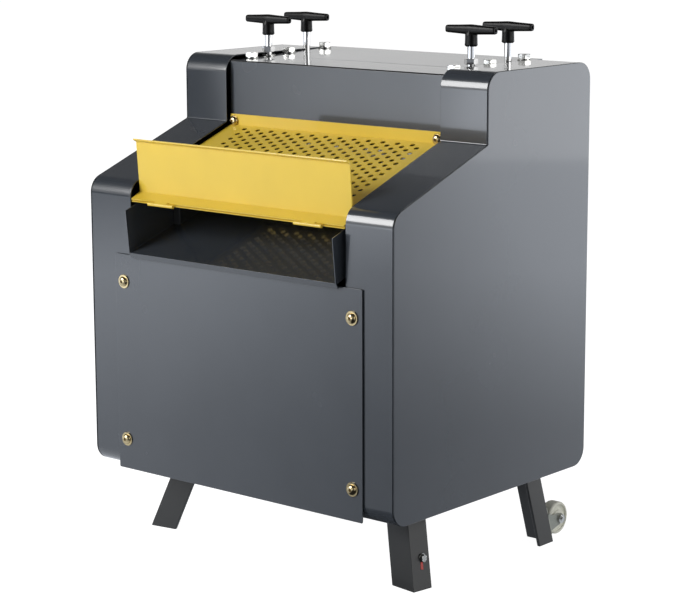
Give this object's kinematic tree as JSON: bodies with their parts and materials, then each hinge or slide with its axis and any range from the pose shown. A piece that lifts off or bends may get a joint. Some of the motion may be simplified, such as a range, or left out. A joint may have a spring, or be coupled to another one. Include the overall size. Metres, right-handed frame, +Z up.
{
  "type": "cable stripping machine",
  "caption": "Free-standing machine that feeds cable between grooved rollers and disc blades to slit its sheath, with a guard, flap and outlet chute.",
  "frame": {"origin": "on the floor, under the middle of the machine's box", "axes": "+Z up; -Y is the outlet side with the guard, flap and chute; +X is the belt side"},
  "size_m": [0.56, 0.5012, 0.7523],
  "materials": {
    "grey_enamel": "glossy dark grey stoving enamel on sheet steel",
    "dark_enamel": "satin near-black enamel",
    "leg_enamel": "satin dark grey enamel on angle iron",
    "yellow_enamel": "semi-gloss signal yellow enamel",
    "cast_iron": "dull grey cast and milled",
    "machined_steel": "turned and ground",
    "zinc": "bright zinc plate",
    "yellow_zinc": "yellow passivated zinc plate",
    "black_plastic": "moulded black phenolic",
    "caster_plastic": "moulded ivory nylon",
    "belt_rubber": "fabric-wrapped rubber",
    "motor_enamel": "grey-blue enamel on a cast body",
    "green_plastic": "glossy moulded green",
    "red_plastic": "glossy moulded red"
  },
  "bodies": {
    "frame": {"left_cover": "grey_enamel", "left_frame_plate": "cast_iron", "front_left_leg": "leg_enamel", "rear_left_leg": "leg_enamel", "left_caster_bracket": "zinc", "left_flap_hinge": "yellow_enamel", "left_panel_bolt_1": "yellow_zinc", "left_panel_bolt_2": "yellow_zinc", "right_cover": "grey_enamel", "right_frame_plate": "cast_iron", "front_right_leg": "leg_enamel", "rear_right_leg": "leg_enamel", "right_caster_bracket": "zinc", "right_flap_hinge": "yellow_enamel", "right_panel_bolt_1": "yellow_zinc", "right_panel_bolt_2": "yellow_zinc", "top_plate": "grey_enamel", "upper_front_panel": "grey_enamel", "front_access_panel": "grey_enamel", "base_plate": "grey_enamel", "inlet_guide_plate": "grey_enamel", "rear_panel": "grey_enamel", "perforated_guard": "yellow_enamel", "outlet_chute": "dark_enamel", "drive_belt": "belt_rubber", "motor": "motor_enamel", "switch_box": "black_plastic", "power_inlet_gland": "black_plastic"},
    "flap": {"outlet_flap": "yellow_enamel"},
    "feed_carriage": {"feed_left_bearing_block": "machined_steel", "feed_right_bearing_block": "machined_steel"},
    "blade_carriage": {"blade_left_bearing_block": "machined_steel", "blade_right_bearing_block": "machined_steel"},
    "upper_feed_shaft": {"upper_feed_roller": "machined_steel", "upper_feed_gear": "cast_iron"},
    "blade_assembly": {"blade_shaft": "machined_steel", "blade_shaft_gear": "cast_iron", "cutting_blade_1": "machined_steel", "cutting_blade_2": "machined_steel", "cutting_blade_3": "machined_steel", "cutting_blade_4": "machined_steel", "cutting_blade_5": "machined_steel"},
    "lower_feed_shaft": {"lower_feed_roller": "machined_steel", "lower_feed_gear": "cast_iron"},
    "lower_cutting_shaft": {"lower_cutting_roller": "machined_steel", "lower_cutting_gear": "cast_iron"},
    "idler": {"main_gear": "cast_iron"},
    "drive_shaft": {"pinion_shaft": "machined_steel", "driven_pulley": "cast_iron"},
    "motor_rotor": {"motor_pulley": "cast_iron"},
    "start_key": {"start_button": "green_plastic"},
    "stop_key": {"stop_button": "red_plastic"},
    "left_caster": {"left_caster_wheel": "caster_plastic"},
    "left_nut": {"left_lock_nut": "zinc"},
    "blade_left_screw": {"blade_left_adjusting_screw": "black_plastic"},
    "feed_left_screw": {"feed_left_adjusting_screw": "black_plastic"},
    "right_caster": {"right_caster_wheel": "caster_plastic"},
    "right_nut": {"right_lock_nut": "zinc"},
    "blade_right_screw": {"blade_right_adjusting_screw": "black_plastic"},
    "feed_right_screw": {"feed_right_adjusting_screw": "black_plastic"}
  },
  "joints": [
    {"name": "flap_hinge", "type": "hinge", "parent": "frame", "child": "flap", "pos_m": [0, -0.2351, 0.5031], "axis": [1, 0, 0], "range_deg": [0, 178]},
    {"name": "drive_shaft_spin", "type": "hinge", "parent": "frame", "child": "drive_shaft", "pos_m": [0, 0.00726, 0.32461], "axis": [1, 0, 0], "continuous": true},
    {"name": "motor_spin", "type": "hinge", "parent": "frame", "child": "motor_rotor", "pos_m": [0, -0.07242, 0.20792], "axis": [1, 0, 0], "continuous": true},
    {"name": "idler_spin", "type": "hinge", "parent": "frame", "child": "idler", "pos_m": [0, 0.09245, 0.38426], "axis": [1, 0, 0], "continuous": true},
    {"name": "lower_feed_spin", "type": "hinge", "parent": "frame", "child": "lower_feed_shaft", "pos_m": [0, 0.13545, 0.492], "axis": [1, 0, 0], "continuous": true},
    {"name": "lower_cutting_spin", "type": "hinge", "parent": "frame", "child": "lower_cutting_shaft", "pos_m": [0, 0.04945, 0.492], "axis": [1, 0, 0], "continuous": true},
    {"name": "feed_lift", "type": "slide", "parent": "frame", "child": "feed_carriage", "axis": [0, 0, 1], "range_m": [0, 0.006]},
    {"name": "blade_lift", "type": "slide", "parent": "frame", "child": "blade_carriage", "axis": [0, 0, 1], "range_m": [0, 0.006]},
    {"name": "upper_feed_spin", "type": "hinge", "parent": "feed_carriage", "child": "upper_feed_shaft", "pos_m": [0, 0.13545, 0.564], "axis": [1, 0, 0], "continuous": true},
    {"name": "blade_spin", "type": "hinge", "parent": "blade_carriage", "child": "blade_assembly", "pos_m": [0, 0.04945, 0.564], "axis": [1, 0, 0], "continuous": true},
    {"name": "feed_left_screw_turn", "type": "hinge", "parent": "feed_carriage", "child": "feed_left_screw", "pos_m": [-0.1883, 0.13545, 0.712], "axis": [0, 0, 1], "range_deg": [0, 1441]},
    {"name": "feed_right_screw_turn", "type": "hinge", "parent": "feed_carriage", "child": "feed_right_screw", "pos_m": [0.1883, 0.13545, 0.712], "axis": [0, 0, 1], "range_deg": [0, 1441]},
    {"name": "blade_left_screw_turn", "type": "hinge", "parent": "blade_carriage", "child": "blade_left_screw", "pos_m": [-0.1883, 0.04945, 0.712], "axis": [0, 0, 1], "range_deg": [0, 1441]},
    {"name": "blade_right_screw_turn", "type": "hinge", "parent": "blade_carriage", "child": "blade_right_screw", "pos_m": [0.1883, 0.04945, 0.712], "axis": [0, 0, 1], "range_deg": [0, 1441]},
    {"name": "left_lock_nut_turn", "type": "hinge", "parent": "blade_left_screw", "child": "left_nut", "pos_m": [-0.1883, 0.04945, 0.7015], "axis": [0, 0, 1], "range_deg": [0, 360]},
    {"name": "left_caster_roll", "type": "hinge", "parent": "frame", "child": "left_caster", "pos_m": [-0.238, 0.19275, 0.026], "axis": [1, 0, 0], "continuous": true},
    {"name": "right_lock_nut_turn", "type": "hinge", "parent": "blade_right_screw", "child": "right_nut", "pos_m": [0.1883, 0.04945, 0.7015], "axis": [0, 0, 1], "range_deg": [0, 360]},
    {"name": "right_caster_roll", "type": "hinge", "parent": "frame", "child": "right_caster", "pos_m": [0.238, 0.19275, 0.026], "axis": [1, 0, 0], "continuous": true},
    {"name": "start_press", "type": "slide", "parent": "frame", "child": "start_key", "axis": [0, -1, 0], "range_m": [0, 0.003], "stiffness_N_per_m": 400, "springref_m": -0.002},
    {"name": "stop_press", "type": "slide", "parent": "frame", "child": "stop_key", "axis": [0, -1, 0], "range_m": [0, 0.003], "stiffness_N_per_m": 400, "springref_m": -0.002}
  ],
  "couplings": [
    {"joint": "motor_spin", "follows": "drive_shaft_spin", "ratio": 4},
    {"joint": "idler_spin", "follows": "drive_shaft_spin", "ratio": -0.3},
    {"joint": "lower_feed_spin", "follows": "drive_shaft_spin", "ratio": 0.66667},
    {"joint": "lower_cutting_spin", "follows": "drive_shaft_spin", "ratio": 0.66667},
    {"joint": "upper_feed_spin", "follows": "drive_shaft_spin", "ratio": -0.66667},
    {"joint": "blade_spin", "follows": "drive_shaft_spin", "ratio": -0.66667},
    {"joint": "feed_left_screw_turn", "follows": "feed_lift", "rad_per_m": 4188.8},
    {"joint": "feed_right_screw_turn", "follows": "feed_lift", "rad_per_m": 4188.8},
    {"joint": "blade_left_screw_turn", "follows": "blade_lift", "rad_per_m": 4188.8},
    {"joint": "blade_right_screw_turn", "follows": "blade_lift", "rad_per_m": 4188.8}
  ]
}
